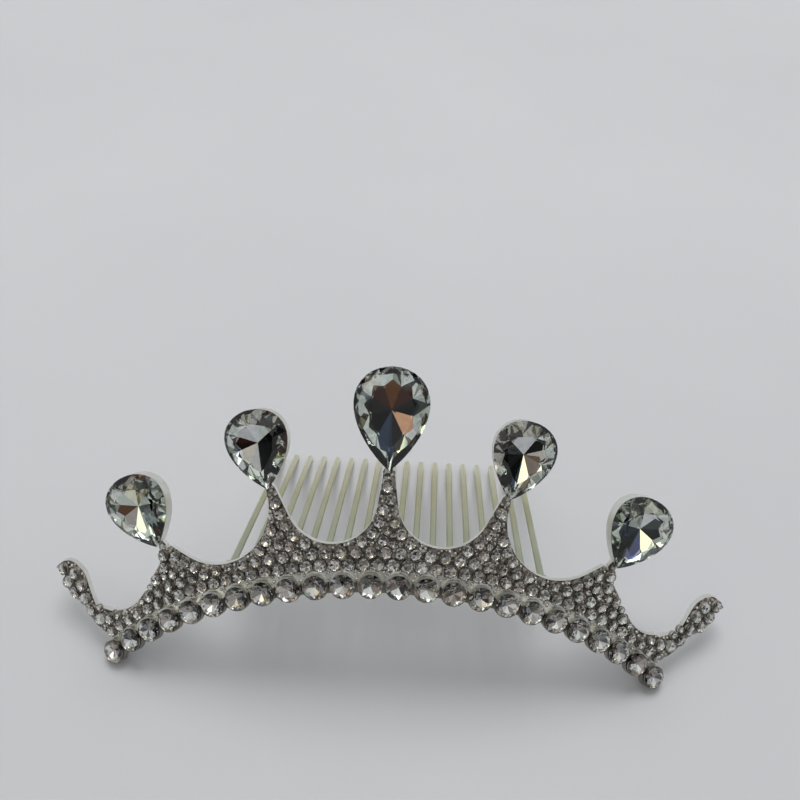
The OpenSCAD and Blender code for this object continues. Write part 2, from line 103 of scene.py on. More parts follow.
def noiseMask(tree, source, scale, detail, edges):
    # Cloudy mask, black below the first edge and white above the second
    clouds = addNode(tree, "ShaderNodeTexNoise", (-600, 300))
    clouds.inputs["Detail"].default_value = detail
    wire(tree, source, clouds.inputs["Vector"])
    if isinstance(scale, (int, float)):
        clouds.inputs["Scale"].default_value = scale
    else:
        wire(tree, scale, clouds.inputs["Scale"])
    mask = addNode(tree, "ShaderNodeValToRGB", (-400, 300))
    setRamp(mask, [(edges[0], (0, 0, 0)), (edges[1], (1, 1, 1))])
    wire(tree, clouds.outputs["Fac"], mask.inputs["Fac"])
    return mask.outputs["Color"]


def openGroup(name, inputs, outputs):
    # A node group with named sockets, each of the kind Float, Color or Vector
    group = bpy.data.node_groups.new(name, "ShaderNodeTree")
    for way, sockets in (("INPUT", inputs), ("OUTPUT", outputs)):
        for socketName, kind in sockets.items():
            group.interface.new_socket(socketName, in_out=way, socket_type=f"NodeSocket{kind}")
    given = addNode(group, "NodeGroupInput", (-900, 0)).outputs
    out = addNode(group, "NodeGroupOutput", (900, 0)).inputs
    return group, given, out


def placeGroup(tree, group, place, values):
    # A group in a material, with the material's own values for its inputs
    made = addNode(tree, "ShaderNodeGroup", place, node_tree=group)
    for name, value in values.items():
        made.inputs[name].default_value = (*value, 1) if isinstance(value, tuple) else value
    return made


# Silver plate. Patches are where it has tarnished, scratches a fine relief all over it
plateFinish = {"patchEdges": (0.38, 0.66), "patchDetail": 5, "patchRoughness": 0.14,
               "scratchScale": 2600, "scratchDetail": 3, "scratchHeight": 0.00005}
silverLook = {
    "frame": {"clean": (0.88, 0.88, 0.84), "tarnished": (0.74, 0.74, 0.68), "patchScale": 160,
              "scratches": 0.3, "roughness": 0.34},
    # The collars' silver is darker than the frame's: painted shade round each small crystal; its
    # patches still differ at random
    "collars": {"clean": (0.48, 0.45, 0.41), "tarnished": (0.26, 0.24, 0.21), "patchScale": 420,
                "scratches": 0.2, "roughness": 0.35},
    "beads": {"clean": (0.85, 0.82, 0.77), "tarnished": (0.36, 0.33, 0.29), "patchScale": 900,
              "scratches": 0.1, "roughness": 0.2},
    "comb": {"clean": (0.96, 0.97, 0.93), "tarnished": (0.86, 0.85, 0.78), "patchScale": 60,
             "scratches": 0.35, "roughness": 0.3},
}


def makePlatedMetalGroup():
    # Cloudy patches, fine scratches and a warmer tint, for any plated metal
    group, given, out = openGroup(
        "platedMetal", {"Clean": "Color", "Tarnished": "Color", "Patch Scale": "Float",
                        "Scratch Depth": "Float", "Base Roughness": "Float"},
        {"Color": "Color", "Roughness": "Float", "Normal": "Vector"})
    where = addNode(group, "ShaderNodeTexCoord", (-900, 300)).outputs["Object"]
    mask = noiseMask(group, where, given["Patch Scale"], plateFinish["patchDetail"],
                     plateFinish["patchEdges"])
    wire(group, overlay(group, given["Clean"], mask, given["Tarnished"], (-100, 200)), out["Color"])
    wire(group, calculate(group, "MULTIPLY_ADD", mask, plateFinish["patchRoughness"],
                          given["Base Roughness"]), out["Roughness"])
    scratches = addNode(group, "ShaderNodeTexNoise", (-600, -200))
    scratches.inputs["Scale"].default_value = plateFinish["scratchScale"]
    scratches.inputs["Detail"].default_value = plateFinish["scratchDetail"]
    wire(group, where, scratches.inputs["Vector"])
    bump = addNode(group, "ShaderNodeBump", (-100, -250))
    bump.inputs["Distance"].default_value = plateFinish["scratchHeight"]
    wire(group, given["Scratch Depth"], bump.inputs["Strength"])
    wire(group, scratches.outputs["Fac"], bump.inputs["Height"])
    wire(group, bump.outputs["Normal"], out["Normal"])
    return group


platedMetalGroup = makePlatedMetalGroup()


def platedMetal(name, look):
    material, tree, shader = newMaterial(name)
    plate = placeGroup(tree, platedMetalGroup, (-300, 0), {
        "Clean": look["clean"], "Tarnished": look["tarnished"], "Patch Scale": look["patchScale"],
        "Scratch Depth": look["scratches"], "Base Roughness": look["roughness"]})
    wire(tree, plate.outputs["Color"], shader.inputs["Base Color"])
    wire(tree, plate.outputs["Roughness"], shader.inputs["Roughness"])
    wire(tree, plate.outputs["Normal"], shader.inputs["Normal"])
    shader.inputs["Metallic"].default_value = 1
    return material


frameSilver = platedMetal("frameSilver", silverLook["frame"])
collarShadedSilver = platedMetal("collarShadedSilver", silverLook["collars"])
beadSilver = platedMetal("beadSilver", silverLook["beads"])
combSilver = platedMetal("combSilver", silverLook["comb"])

# Painted shade on the band's front among the small crystals, mottled in chips of metal, and painted
# shade in the round crystals' cups. The band is bent and arched about the radii, and stands at the
# origin and tilt; heights are above the cups' row
paveGround = {
    "shadeChips": [(0.0, (0.11, 0.10, 0.09)), (0.32, (0.24, 0.215, 0.19)), (0.58, (0.40, 0.37, 0.33)),
              (0.82, (0.64, 0.61, 0.56)), (0.95, (0.95, 0.95, 0.92))],
    "chipScale": 1900, "chipRelief": 0.5, "chipHeight": 0.00025, "cupShade": (0.34, 0.325, 0.29),
    "bendRadius": 0.142, "archRadius": 0.085, "tilt": 40.131, "originY": -0.020768,
    "originZ": 0.022823, "faceSlack": 0.0003, "leastFacing": 0.7, "fromHeight": 0.0026,
    "cupsBelow": 0.0006,
}


def makePaveGroundGroup():
    # Ground: 1 on the band's front among the small crystals; Cups: 1 low on the cups
    inputs = ("Bend Radius", "Arch Radius", "Tilt", "Origin Y", "Origin Z", "Face Slack",
              "Least Facing", "From Height", "Cups Below")
    group, given, out = openGroup("paveGround", dict.fromkeys(inputs, "Float"),
                                  {"Ground": "Float", "Cups": "Float"})

    def times(a, b):
        return calculate(group, "MULTIPLY", a, b)

    def plus(a, b):
        return calculate(group, "ADD", a, b)

    def minus(a, b):
        return calculate(group, "SUBTRACT", a, b)

    spot = addNode(group, "ShaderNodeNewGeometry", (-900, 300))
    place = addNode(group, "ShaderNodeSeparateXYZ", (-700, 300))
    wire(group, spot.outputs["Position"], place.inputs["Vector"])
    normal = addNode(group, "ShaderNodeSeparateXYZ", (-700, 500))
    wire(group, spot.outputs["True Normal"], normal.inputs["Vector"])
    sine = calculate(group, "SINE", given["Tilt"])
    cosine = calculate(group, "COSINE", given["Tilt"])
    x = place.outputs["X"]
    y = minus(place.outputs["Y"], given["Origin Y"])
    z = minus(place.outputs["Z"], given["Origin Z"])
    up = plus(times(y, sine), times(z, cosine))
    deep = minus(times(y, cosine), times(z, sine))
    fromAxis = minus(given["Bend Radius"], deep)
    reach = calculate(group, "SQRT", plus(times(x, x), times(fromAxis, fromAxis)))
    onFace = calculate(group, "COMPARE", reach, given["Bend Radius"], given["Face Slack"])
    fromArch = plus(up, given["Arch Radius"])
    height = minus(calculate(group, "SQRT", plus(times(x, x), times(fromArch, fromArch))),
                   given["Arch Radius"])
    high = calculate(group, "GREATER_THAN", height, given["From Height"])
    facing = minus(times(normal.outputs["Z"], sine), times(normal.outputs["Y"], cosine))
    front = calculate(group, "GREATER_THAN", facing, given["Least Facing"])
    wire(group, times(times(onFace, high), front), out["Ground"])
    wire(group, calculate(group, "LESS_THAN", height, given["Cups Below"]), out["Cups"])
    return group


def paintPaveShade(material):
    # Painted shade among the small crystals, in chips of metal that lean their own ways, and
    # painted shade in the cups
    tree = material.node_tree
    shader = tree.nodes["Principled BSDF"]
    mask = placeGroup(tree, makePaveGroundGroup(), (-600, 300), {
        "Bend Radius": paveGround["bendRadius"], "Arch Radius": paveGround["archRadius"],
        "Tilt": math.radians(paveGround["tilt"]), "Origin Y": paveGround["originY"],
        "Origin Z": paveGround["originZ"], "Face Slack": paveGround["faceSlack"],
        "Least Facing": paveGround["leastFacing"], "From Height": paveGround["fromHeight"],
        "Cups Below": paveGround["cupsBelow"]})
    where = addNode(tree, "ShaderNodeTexCoord", (-1300, 500))
    cells = addNode(tree, "ShaderNodeTexVoronoi", (-1100, 500))
    cells.inputs["Scale"].default_value = paveGround["chipScale"]
    wire(tree, where.outputs["Object"], cells.inputs["Vector"])
    pick = addNode(tree, "ShaderNodeSeparateColor", (-900, 500))
    wire(tree, cells.outputs["Color"], pick.inputs["Color"])
    shadeChips = addNode(tree, "ShaderNodeValToRGB", (-700, 500))
    setRamp(shadeChips, paveGround["shadeChips"], "CONSTANT")
    wire(tree, pick.outputs["Red"], shadeChips.inputs["Fac"])
    shade = shader.inputs["Base Color"].links[0].from_socket
    # painted shade: chips of metal, most of them darker, on the band's front among the small
    # crystals
    shade = overlay(tree, shade, mask.outputs["Ground"], shadeChips.outputs["Color"], (-300, 200))
    # painted shade in the round crystals' cups
    shade = overlay(tree, shade, mask.outputs["Cups"], paveGround["cupShade"], (-150, 200))
    wire(tree, shade, shader.inputs["Base Color"])
    lean = addNode(tree, "ShaderNodeBump", (-300, -400))  # each chip leans its own way
    lean.inputs["Distance"].default_value = paveGround["chipHeight"]
    relief = calculate(tree, "MULTIPLY", mask.outputs["Ground"], paveGround["chipRelief"])
    wire(tree, relief, lean.inputs["Strength"])
    wire(tree, cells.outputs["Distance"], lean.inputs["Height"])
    wire(tree, shader.inputs["Normal"].links[0].from_socket, lean.inputs["Normal"])
    wire(tree, lean.outputs["Normal"], shader.inputs["Normal"])


# the frame's silver gets the painted shade among the small crystals and in the cups
paintPaveShade(frameSilver)

# Colours of the comb from its spine to the tips of its teeth: painted shade darkens and greys them
# towards the spine, under the band
combShades = {"root": (0.60, 0.64, 0.53), "middle": (0.66, 0.65, 0.47), "tip": (0.93, 0.91, 0.74),
             "rootY": -0.012, "tipY": 0.027}


def makeLengthTintGroup():
    # Blends three tints along Y
    group, given, out = openGroup(
        "lengthTint", {"Root": "Color", "Middle": "Color", "Tip": "Color", "Root Y": "Float",
                       "Tip Y": "Float"}, {"Color": "Color"})
    spot = addNode(group, "ShaderNodeNewGeometry", (-900, 300))
    place = addNode(group, "ShaderNodeSeparateXYZ", (-700, 300))
    wire(group, spot.outputs["Position"], place.inputs["Vector"])
    along = addNode(group, "ShaderNodeMapRange", (-500, 300))
    wire(group, place.outputs["Y"], along.inputs["Value"])
    wire(group, given["Root Y"], along.inputs["From Min"])
    wire(group, given["Tip Y"], along.inputs["From Max"])
    share = along.outputs["Result"]
    tint = overlay(group, given["Root"], calculate(group, "MULTIPLY", share, 2.0),
                   given["Middle"], (0, 200))
    tint = overlay(group, tint, calculate(group, "MULTIPLY_ADD", share, 2.0, -1.0),
                   given["Tip"], (300, 100))
    wire(group, tint, out["Color"])
    return group


def shadeAlongTeeth(material):
    # Multiplies the comb's silver by the painted shade along its teeth
    tree = material.node_tree
    shader = tree.nodes["Principled BSDF"]
    tint = placeGroup(tree, makeLengthTintGroup(), (-600, 300), {
        "Root": combShades["root"], "Middle": combShades["middle"], "Tip": combShades["tip"],
        "Root Y": combShades["rootY"], "Tip Y": combShades["tipY"]})
    shade = overlay(tree, shader.inputs["Base Color"].links[0].from_socket, 1,
                    tint.outputs["Color"], (-150, 200), blend_type="MULTIPLY")
    wire(tree, shade, shader.inputs["Base Color"])


shadeAlongTeeth(combSilver)

# Glass of the crystals: its tints, how far the haze dims them, and where the haze turns
glassLook = {"ior": 1.52, "hazeScale": 240, "hazeDetail": 2, "hazeEdges": (0.35, 0.65),
             "hazeShare": 0.97, "dropTint": (0.95, 0.98, 0.96), "roundTint": (0.97, 0.97, 0.97),
             "smallTint": (0.96, 0.95, 0.94)}
# Mirror coating behind them: where its specks turn, and how far they dim it
mirrorLook = {"speckScale": 900, "speckEdges": (0.3, 0.7), "wornShare": 0.86,
              "dropRoughness": 0, "roundRoughness": 0.02, "smallRoughness": 0.03}


def makeGlassHazeGroup():
    # Faint clouds in the glass
    group, given, out = openGroup(
        "glassHaze", {"Hazy": "Color", "Clear": "Color", "Haze Scale": "Float"}, {"Color": "Color"})
    where = addNode(group, "ShaderNodeTexCoord", (-900, 300))
    mask = noiseMask(group, where.outputs["Object"], given["Haze Scale"], glassLook["hazeDetail"],
                     glassLook["hazeEdges"])
    wire(group, overlay(group, given["Hazy"], mask, given["Clear"], (0, 100)), out["Color"])
    return group


def makeMirrorWearGroup():
    # Specks where the mirror coating has dulled
    group, given, out = openGroup(
        "mirrorWear", {"Tint": "Color", "Speck Scale": "Float", "Worn Share": "Float"},
        {"Color": "Color"})
    where = addNode(group, "ShaderNodeTexCoord", (-900, 300))
    specks = addNode(group, "ShaderNodeTexNoise", (-600, 300))
    wire(group, where.outputs["Object"], specks.inputs["Vector"])
    wire(group, given["Speck Scale"], specks.inputs["Scale"])
    wear = addNode(group, "ShaderNodeMapRange", (-300, 300))
    for end, edge in zip(("From Min", "From Max"), mirrorLook["speckEdges"]):
        wear.inputs[end].default_value = edge
    wire(group, specks.outputs["Fac"], wear.inputs["Value"])
    wire(group, given["Worn Share"], wear.inputs["To Min"])
    shade = addNode(group, "ShaderNodeVectorMath", (0, 100), operation="SCALE")
    wire(group, given["Tint"], shade.inputs[0])
    wire(group, wear.outputs["Result"], shade.inputs["Scale"])
    wire(group, shade.outputs["Vector"], out["Color"])
    return group


glassHazeGroup = makeGlassHazeGroup()
mirrorWearGroup = makeMirrorWearGroup()


def crystalGlass(name, tint):
    material, tree, shader = newMaterial(name)
    haze = placeGroup(tree, glassHazeGroup, (-300, 0), {
        "Hazy": tuple(glassLook["hazeShare"] * c for c in tint), "Clear": tint,
        "Haze Scale": glassLook["hazeScale"]})
    wire(tree, haze.outputs["Color"], shader.inputs["Base Color"])
    shader.inputs["Roughness"].default_value = 0
    shader.inputs["IOR"].default_value = glassLook["ior"]
    shader.inputs["Transmission Weight"].default_value = 1
    return material


def mirrorBack(name, roughness):
    # The coating behind a crystal, with painted reflections and painted shade facet by facet
    material, tree, shader = newMaterial(name)
    facet = addNode(tree, "ShaderNodeAttribute", (-500, 0), attribute_name="paintedReflection")
    wear = placeGroup(tree, mirrorWearGroup, (-300, 0), {
        "Speck Scale": mirrorLook["speckScale"], "Worn Share": mirrorLook["wornShare"]})
    wire(tree, facet.outputs["Color"], wear.inputs["Tint"])
    wire(tree, wear.outputs["Color"], shader.inputs["Base Color"])
    shader.inputs["Metallic"].default_value = 1
    shader.inputs["Roughness"].default_value = roughness
    return material


dropGlass = crystalGlass("dropGlass", glassLook["dropTint"])
roundGlass = crystalGlass("roundGlass", glassLook["roundTint"])
smallGlass = crystalGlass("smallGlass", glassLook["smallTint"])
dropMirror = mirrorBack("dropMirror", mirrorLook["dropRoughness"])
roundMirror = mirrorBack("roundMirror", mirrorLook["roundRoughness"])
smallMirror = mirrorBack("smallMirror", mirrorLook["smallRoughness"])
print("materials made")

# How each stone's seat is read off its solid: corners are welded at so many digits of a
# millimetre, flats are one where their cosine is above sameFacing, slivers have less than
# leastArea, the girdle is clearOfEnds from table and point, nearTip is a share of the length
seatReading = {"weldDigits": 4, "sameFacing": 0.9999, "leastArea": 1e-9, "clearOfEnds": 0.02,
               "nearTip": 0.3}


def looseSolids(nodeName):
    # The node's mesh as one (places, faces) for each stone, with shared corners welded
    mesh = nodes[nodeName].data
    raw = np.array([v.co for v in mesh.vertices]) / toMetres
    places, same = np.unique(np.round(raw, seatReading["weldDigits"]), axis=0, return_inverse=True)
    same = same.ravel()
    group = list(range(len(places)))

    def head(i):
        while group[i] != i:
            group[i] = group[group[i]]
            i = group[i]
        return i

    faces = [[int(same[v]) for v in p.vertices] for p in mesh.polygons]
    for face in faces:
        for corner in face[1:]:
            group[head(corner)] = head(face[0])
    solids = {}
    for face in faces:
        solids.setdefault(head(face[0]), []).append(face)
    return [(places, solids[k]) for k in sorted(solids)]


def tableNormal(places, faces):
    # The table is the largest flat of a cut stone
    flats = []
    for face in faces:
        a, b, c = (places[k] for k in face[:3])
        normal = np.cross(b - a, c - a)
        area = np.linalg.norm(normal)
        if area > seatReading["leastArea"]:
            for flat in flats:
                if flat[0] @ normal / area > seatReading["sameFacing"]:
                    flat[1] += area
                    break
            else:
                flats.append([normal / area, area])
    return max(flats, key=lambda flat: flat[1])[0]


def stoneSeat(places, faces, drop=False):
    # Place, directions and size of a stone at its girdle; a drop's place is its tip
    front = tableNormal(places, faces)
    corners = places[sorted({k for face in faces for k in face})]
    heights = corners @ front
    clear = seatReading["clearOfEnds"]
    ring = corners[(heights < heights.max() - clear) & (heights > heights.min() + clear)]
    level = (ring @ front).min()
    middle = ring.mean(0)
    middle = middle + (level - middle @ front) * front
    if drop:
        spans = np.linalg.norm(ring[:, None] - ring[None], axis=2)
        i, j = np.unravel_index(spans.argmax(), spans.shape)
        ends = []
        for a, b in ((ring[i], ring[j]), (ring[j], ring[i])):
            along = b - a - ((b - a) @ front) * front
            along /= np.linalg.norm(along)
            side = np.cross(along, front)
            near = ring[(ring - a) @ along < seatReading["nearTip"] * spans.max()]
            ends.append((np.abs((near - a) @ side).max(), tuple(a), tuple(along)))
        _, tip, along = min(ends)  # the tip is the narrower end
        tip, along = np.array(tip), np.array(along)
        tip = tip + (level - tip @ front) * front
        side = np.cross(along, front)
        return {"place": tip, "front": front, "along": along, "side": side,
                "width": np.ptp(ring @ side), "length": np.ptp(ring @ along)}
    along = np.array((0, 0, 1.0)) - front[2] * front
    along /= np.linalg.norm(along)
    flat = ring - middle - np.outer((ring - middle) @ front, front)
    size = 2 * np.linalg.norm(flat, axis=1).max()
    return {"place": middle, "front": front, "along": along, "side": np.cross(along, front),
            "width": size, "length": size}


# Outlines give the girdle's point at a share of the turn, and the stone's middle
def roundOutline(seat):
    radius = seat["width"] / 2

    def place(t):
        return np.array((radius * math.sin(2 * math.pi * t), radius * math.cos(2 * math.pi * t)))

    return place, np.zeros(2)


def dropOutline(seat):
    power = dropCrystals["tipPower"]

    def bulge(t):
        return math.sin(2 * math.pi * t) * abs(math.sin(math.pi * t)) ** power

    widest = bulge(math.atan(math.sqrt(1 + power)) / math.pi)

    def place(t):
        return np.array((-seat["width"] / 2 * bulge(t) / widest,
                         seat["length"] * (1 - math.cos(2 * math.pi * t)) / 2))

    return place, np.array((0, dropCrystals["middle"] * seat["length"]))


def cutStone(outline, middle, cut, turn=0.0):
    # Corners and faces of a brilliant cut. A face is (corners, part, number); its part is glass
    # in front, and rim, girdle, inner or outer on the mirrored back
    n, steps = cut["facets"], cut["girdleSteps"]
    crown, band, depth = cut["crown"], cut["band"], cut["depth"]
    nudge = 1e-4  # share of a turn, for the girdle's slope
    main = [outline((i + turn) / n) for i in range(n)]
    between = [outline((i + 0.5 + turn) / n) for i in range(n)]
    slopes = [outline((i + turn) / n + nudge) - outline((i + turn) / n - nudge) for i in range(n)]

    def slanted(i, inner, rise):
        # plane through the girdle's corner i, along the girdle, up or down to the inner point
        p = np.append(main[i], 0)
        along = np.append(slopes[i] / np.linalg.norm(slopes[i]), 0)
        normal = np.cross(along, np.append(inner, rise) - p)
        return lambda q: -(normal[:2] @ (q - main[i])) / normal[2]

    table = [middle + cut["table"] * (p - middle) for p in main]
    crownPlane = [slanted(i, table[i], crown) for i in range(n)]
    backPlane = [slanted(i, middle, -depth) for i in range(n)]
    corners, faces = [], []

    def corner(p, z):
        corners.append((p[0], p[1], z))
        return len(corners) - 1

    top = [corner(p, band + crown) for p in table]
    star = []
    for i in range(n):
        p = middle + cut["star"] * (between[i] - middle)
        star.append(corner(p, band + min(crownPlane[i](p), crownPlane[(i + 1) % n](p), crown)))
    ringPlaces = [outline((k / (2 * steps) + turn) / n) for k in range(2 * steps * n)]
    upper = [corner(p, band) for p in ringPlaces]
    lower = [corner(p, 0) for p in ringPlaces]
    culet = corner(middle, -depth)
    deep, half = [], []
    for i in range(n):
        toTip = [cut["tipReach"] * max(0, math.cos(2 * math.pi * t / n)) ** 3 for t in (i, i + 0.5)]
        inner, lowerShare = cut["innerShare"] + toTip[0], cut["lowerShare"] + toTip[1]
        p = middle + lowerShare * (between[i] - middle)
        deep.append(corner(p, max(backPlane[i](p), backPlane[(i + 1) % n](p), -depth)))
        half.append(corner(middle + inner * (main[i] - middle), -depth * (1 - inner)))
    count = len(upper)
    faces.append((tuple(top), "glass", 0))
    for i in range(n):
        j = (i + 1) % n
        faces.append(((top[i], star[i], top[j]), "glass", i))
        faces.append(((top[i], upper[2 * steps * i], star[i]), "glass", i))
        faces.append(((top[j], star[i], upper[2 * steps * j % count]), "glass", i))
        for k in range(2 * steps):
            a, b = 2 * steps * i + k, (2 * steps * i + k + 1) % count
            faces.append(((star[i], upper[a], upper[b]), "glass", i))
            faces.append(((upper[a], lower[a], lower[b], upper[b]), "rim", 0))
            faces.append(((deep[i], lower[b], lower[a]), "girdle", 2 * steps * i + k))
        faces.append(((culet, deep[i], half[i]), "inner", i))
        faces.append(((culet, half[j], deep[i]), "inner", j))
        faces.append(((half[i], deep[i], lower[2 * steps * i]), "outer", 2 * i))
        faces.append(((half[j], lower[2 * steps * j % count], deep[i]), "outer", 2 * i + 1))
    places = np.array(corners)
    inside = np.append(middle, 0.1 * band)  # any point well inside the stone
    outward = []
    for ring, part, number in faces:
        a, b, c = places[list(ring[:3])]
        out = np.cross(b - a, c - a) @ (places[list(ring)].mean(0) - inside) > 0
        outward.append((ring if out else ring[::-1], part, number))
    return corners, outward


def stoneMesh(name, stones, materials, node):
    # One object for all the stones, each (seat, corners, faces, painted reflections of the facets),
    # in place
    corners, faces, slots, paintedFacets = [], [], [], []
    for seat, stoneCorners, stoneFaces, stonePaintedFacets in stones:
        start = len(corners)
        for x, y, z in stoneCorners:
            p = seat["place"] + x * seat["side"] + y * seat["along"] + z * seat["front"]
            corners.append(tuple(p * toMetres))
        for (ring, part, _), tint in zip(stoneFaces, stonePaintedFacets):
            faces.append([start + k for k in ring])
            slots.append(0 if part == "glass" else 1)  # the second material is the mirror
            paintedFacets.append(tint)
    mesh = bpy.data.meshes.new(name)
    mesh.from_pydata(corners, [], faces)
    layer = mesh.attributes.new("paintedReflection", "FLOAT_COLOR", "CORNER")
    for face, slot, tint in zip(mesh.polygons, slots, paintedFacets):
        face.material_index = slot
        for loop in face.loop_indices:
            layer.data[loop].color = (*tint, 1)
    for material in materials:
        mesh.materials.append(material)
    mesh.validate()
    piece = bpy.data.objects.new(name, mesh)
    scene.collection.objects.link(piece)
    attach(piece, "root")
    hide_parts(*node)


def pickName(palette, dice):
    # Draws from a palette of (share, tint name)
    draw = dice.random() * sum(share for share, _ in palette)
    for share, name in palette:
        draw -= share
        if draw < 0:
            break
    return name


def paintFacetReflections(faces, inner, look, dice):
    # Inner has one painted reflection for each main facet; the facets round them draw theirs from
    # the look's ring
    chosen, paintedFacets = {}, []
    for _, part, number in faces:
        if part == "glass":
            paintedFacets.append((1, 1, 1))
            continue
        if (part, number) not in chosen:
            if part == "inner":
                name = inner[number]
            else:
                name = look["rim"] if part == "rim" else pickName(look["ring"], dice)
            light = 1 + tintSpread * (dice.random() - 0.5)
            chosen[part, number] = tuple(min(1, light * c) for c in paintedReflections[name])
        paintedFacets.append(chosen[part, number])
    return paintedFacets


# Painted reflections, glints and shade on the mirrored facets behind the glass, each the colour the
# facet is to seem to mirror, and how much two facets of one colour differ
tintSpread = 0.16
paintedReflections = {
    "white": (0.96, 0.98, 0.95), "paleGreen": (0.76, 0.82, 0.76), "greyGreen": (0.40, 0.44, 0.38),
    "lilac": (0.80, 0.80, 0.83), "cream": (0.96, 0.93, 0.76), "blueGrey": (0.36, 0.41, 0.44),
    "grey": (0.30, 0.31, 0.31), "dark": (0.085, 0.09, 0.09), "black": (0.016, 0.017, 0.016),
    "navy": (0.04, 0.06, 0.10), "olive": (0.28, 0.27, 0.16), "brown": (0.15, 0.055, 0.015),
    "redBrown": (0.07, 0.025, 0.018), "peach": (0.86, 0.47, 0.29), "rose": (0.70, 0.635, 0.585),
    "mauve": (0.48, 0.43, 0.405), "taupe": (0.38, 0.345, 0.30), "blue": (0.16, 0.18, 0.34),
}

# A cut's crown, band and depth are in millimetres, its table, star, lower and inner points are
# shares of the way out from the middle; tipReach draws the facets at a drop's tip out by a share
dropCrystals = {
    "cut": {"facets": 10, "girdleSteps": 2, "crown": 1.7, "band": 0.25, "depth": 1.65,
            "table": 0.60, "star": 0.83, "lowerShare": 0.54, "innerShare": 0.66, "tipReach": 0.18},
    "tipPower": 0.8, "middle": 0.58,
    # painted reflections of the main facets, from the tip up the left side, over the top and down
    # the right side
    "inner": {
        1: ["paleGreen", "paleGreen", "rose", "brown", "paleGreen", "cream", "cream", "paleGreen",
            "grey", "blueGrey"],
        2: ["black", "white", "rose", "redBrown", "lilac", "lilac", "paleGreen", "black", "black",
            "black"],
        3: ["navy", "navy", "black", "black", "redBrown", "brown", "redBrown", "black", "peach",
            "black"],
        4: ["navy", "black", "black", "dark", "lilac", "lilac", "black", "rose", "rose", "cream"],
        5: ["dark", "black", "navy", "lilac", "lilac", "lilac", "dark", "black", "cream", "blue"],
    },
    "ring": [(0.30, "paleGreen"), (0.18, "greyGreen"), (0.28, "white"), (0.10, "lilac"),
             (0.08, "dark"), (0.06, "olive")],
    "rim": "greyGreen", "seed": 11,
}
# Painted reflections: upper facets draw darker ones, painted shade, from top and lower ones draw
# lighter ones and painted glints from bottom, or painted lighter ones from ends on the last few
# each side; topShift blurs the line between upper and lower
roundCrystals = {
    "cut": {"facets": 8, "girdleSteps": 1, "crown": 0.66, "band": 0.25, "depth": 0.72,
            "table": 0.56, "star": 0.8, "lowerShare": 0.55, "innerShare": 0.7, "tipReach": 0},
    "count": 24, "endCount": 6, "topShift": 0.2,
    "top": [(0.3, "grey"), (0.25, "taupe"), (0.1, "dark"), (0.35, "mauve")],
    "bottom": [(0.35, "rose"), (0.3, "white"), (0.25, "mauve"), (0.10, "taupe")],
    "ends": [(0.1, "rose"), (0.75, "white"), (0.15, "lilac")],
    "ring": [(0.22, "mauve"), (0.14, "taupe"), (0.18, "greyGreen"), (0.16, "rose"), (0.26, "white"),
             (0.04, "dark")],
    "rim": "mauve", "tilt": 2.5, "seed": 23,
}
# Facets draw painted reflections from inner, or painted lighter ones from ends further out than
# endsFrom, in millimetres from the middle
smallCrystals = {
    "cut": {"facets": 8, "girdleSteps": 1, "crown": 0.24, "band": 0.1, "depth": 0.27,
            "table": 0.58, "star": 0.8, "lowerShare": 0.6, "innerShare": 0.7, "tipReach": 0},
    "endsFrom": 38,
    "inner": [(0.20, "taupe"), (0.24, "mauve"), (0.10, "grey"), (0.24, "rose"), (0.04, "olive"),
              (0.20, "white")],
    "ends": [(0.25, "rose"), (0.55, "white"), (0.2, "paleGreen")],
    "ring": [(0.14, "taupe"), (0.06, "dark"), (0.10, "grey"), (0.24, "mauve"), (0.46, "white")],
    "rim": "rose", "tilt": 12, "seed": 37,
}


def leaned(seat, tilt, dice):
    # A hand-set stone never sits quite straight; tilt is the most it leans, in degrees
    about = Vector(seat["side"] * math.cos(2 * math.pi * dice.random())
                   + seat["along"] * math.sin(2 * math.pi * dice.random())).normalized()
    turn = np.array(Matrix.Rotation(math.radians(tilt) * dice.random(), 3, about))
    return {**seat, **{key: turn @ seat[key] for key in ("front", "along", "side")}}


for i in dropCrystals["inner"]:
    nodeName = f"drop_stone_{i}"
    dice = random.Random(dropCrystals["seed"] + i)
    seat = stoneSeat(*looseSolids(nodeName)[0], drop=True)
    outline, middle = dropOutline(seat)
    corners, faces = cutStone(outline, middle, dropCrystals["cut"])
    paintedFacets = paintFacetReflections(faces, dropCrystals["inner"][i], dropCrystals, dice)
    stoneMesh(f"drop_crystal_{i}", [(seat, corners, faces, paintedFacets)], [dropGlass, dropMirror],
              [nodeName])
    print("drop", i, "width", round(seat["width"], 2), "length", round(seat["length"], 2))

for i in range(1, roundCrystals["count"] + 1):
    nodeName = f"round_stone_{i:02d}"
    dice = random.Random(roundCrystals["seed"] + i)
    seat = leaned(stoneSeat(*looseSolids(nodeName)[0]), roundCrystals["tilt"], dice)
    outline, middle = roundOutline(seat)
    turn = dice.random()
    facets = roundCrystals["cut"]["facets"]
    corners, faces = cutStone(outline, middle, roundCrystals["cut"], turn)
    fromEnd = min(i, roundCrystals["count"] + 1 - i)
    lower = "ends" if fromEnd <= roundCrystals["endCount"] else "bottom"
    inner = []
    for k in range(facets):
        up = math.cos(2 * math.pi * (k + turn) / facets)
        low = up < roundCrystals["topShift"] * (dice.random() - 0.5)
        inner.append(pickName(roundCrystals[lower if low else "top"], dice))
    paintedFacets = paintFacetReflections(faces, inner, roundCrystals, dice)
    stoneMesh(f"round_crystal_{i:02d}", [(seat, corners, faces, paintedFacets)], [roundGlass, roundMirror],
              [nodeName])
print("round crystals made")

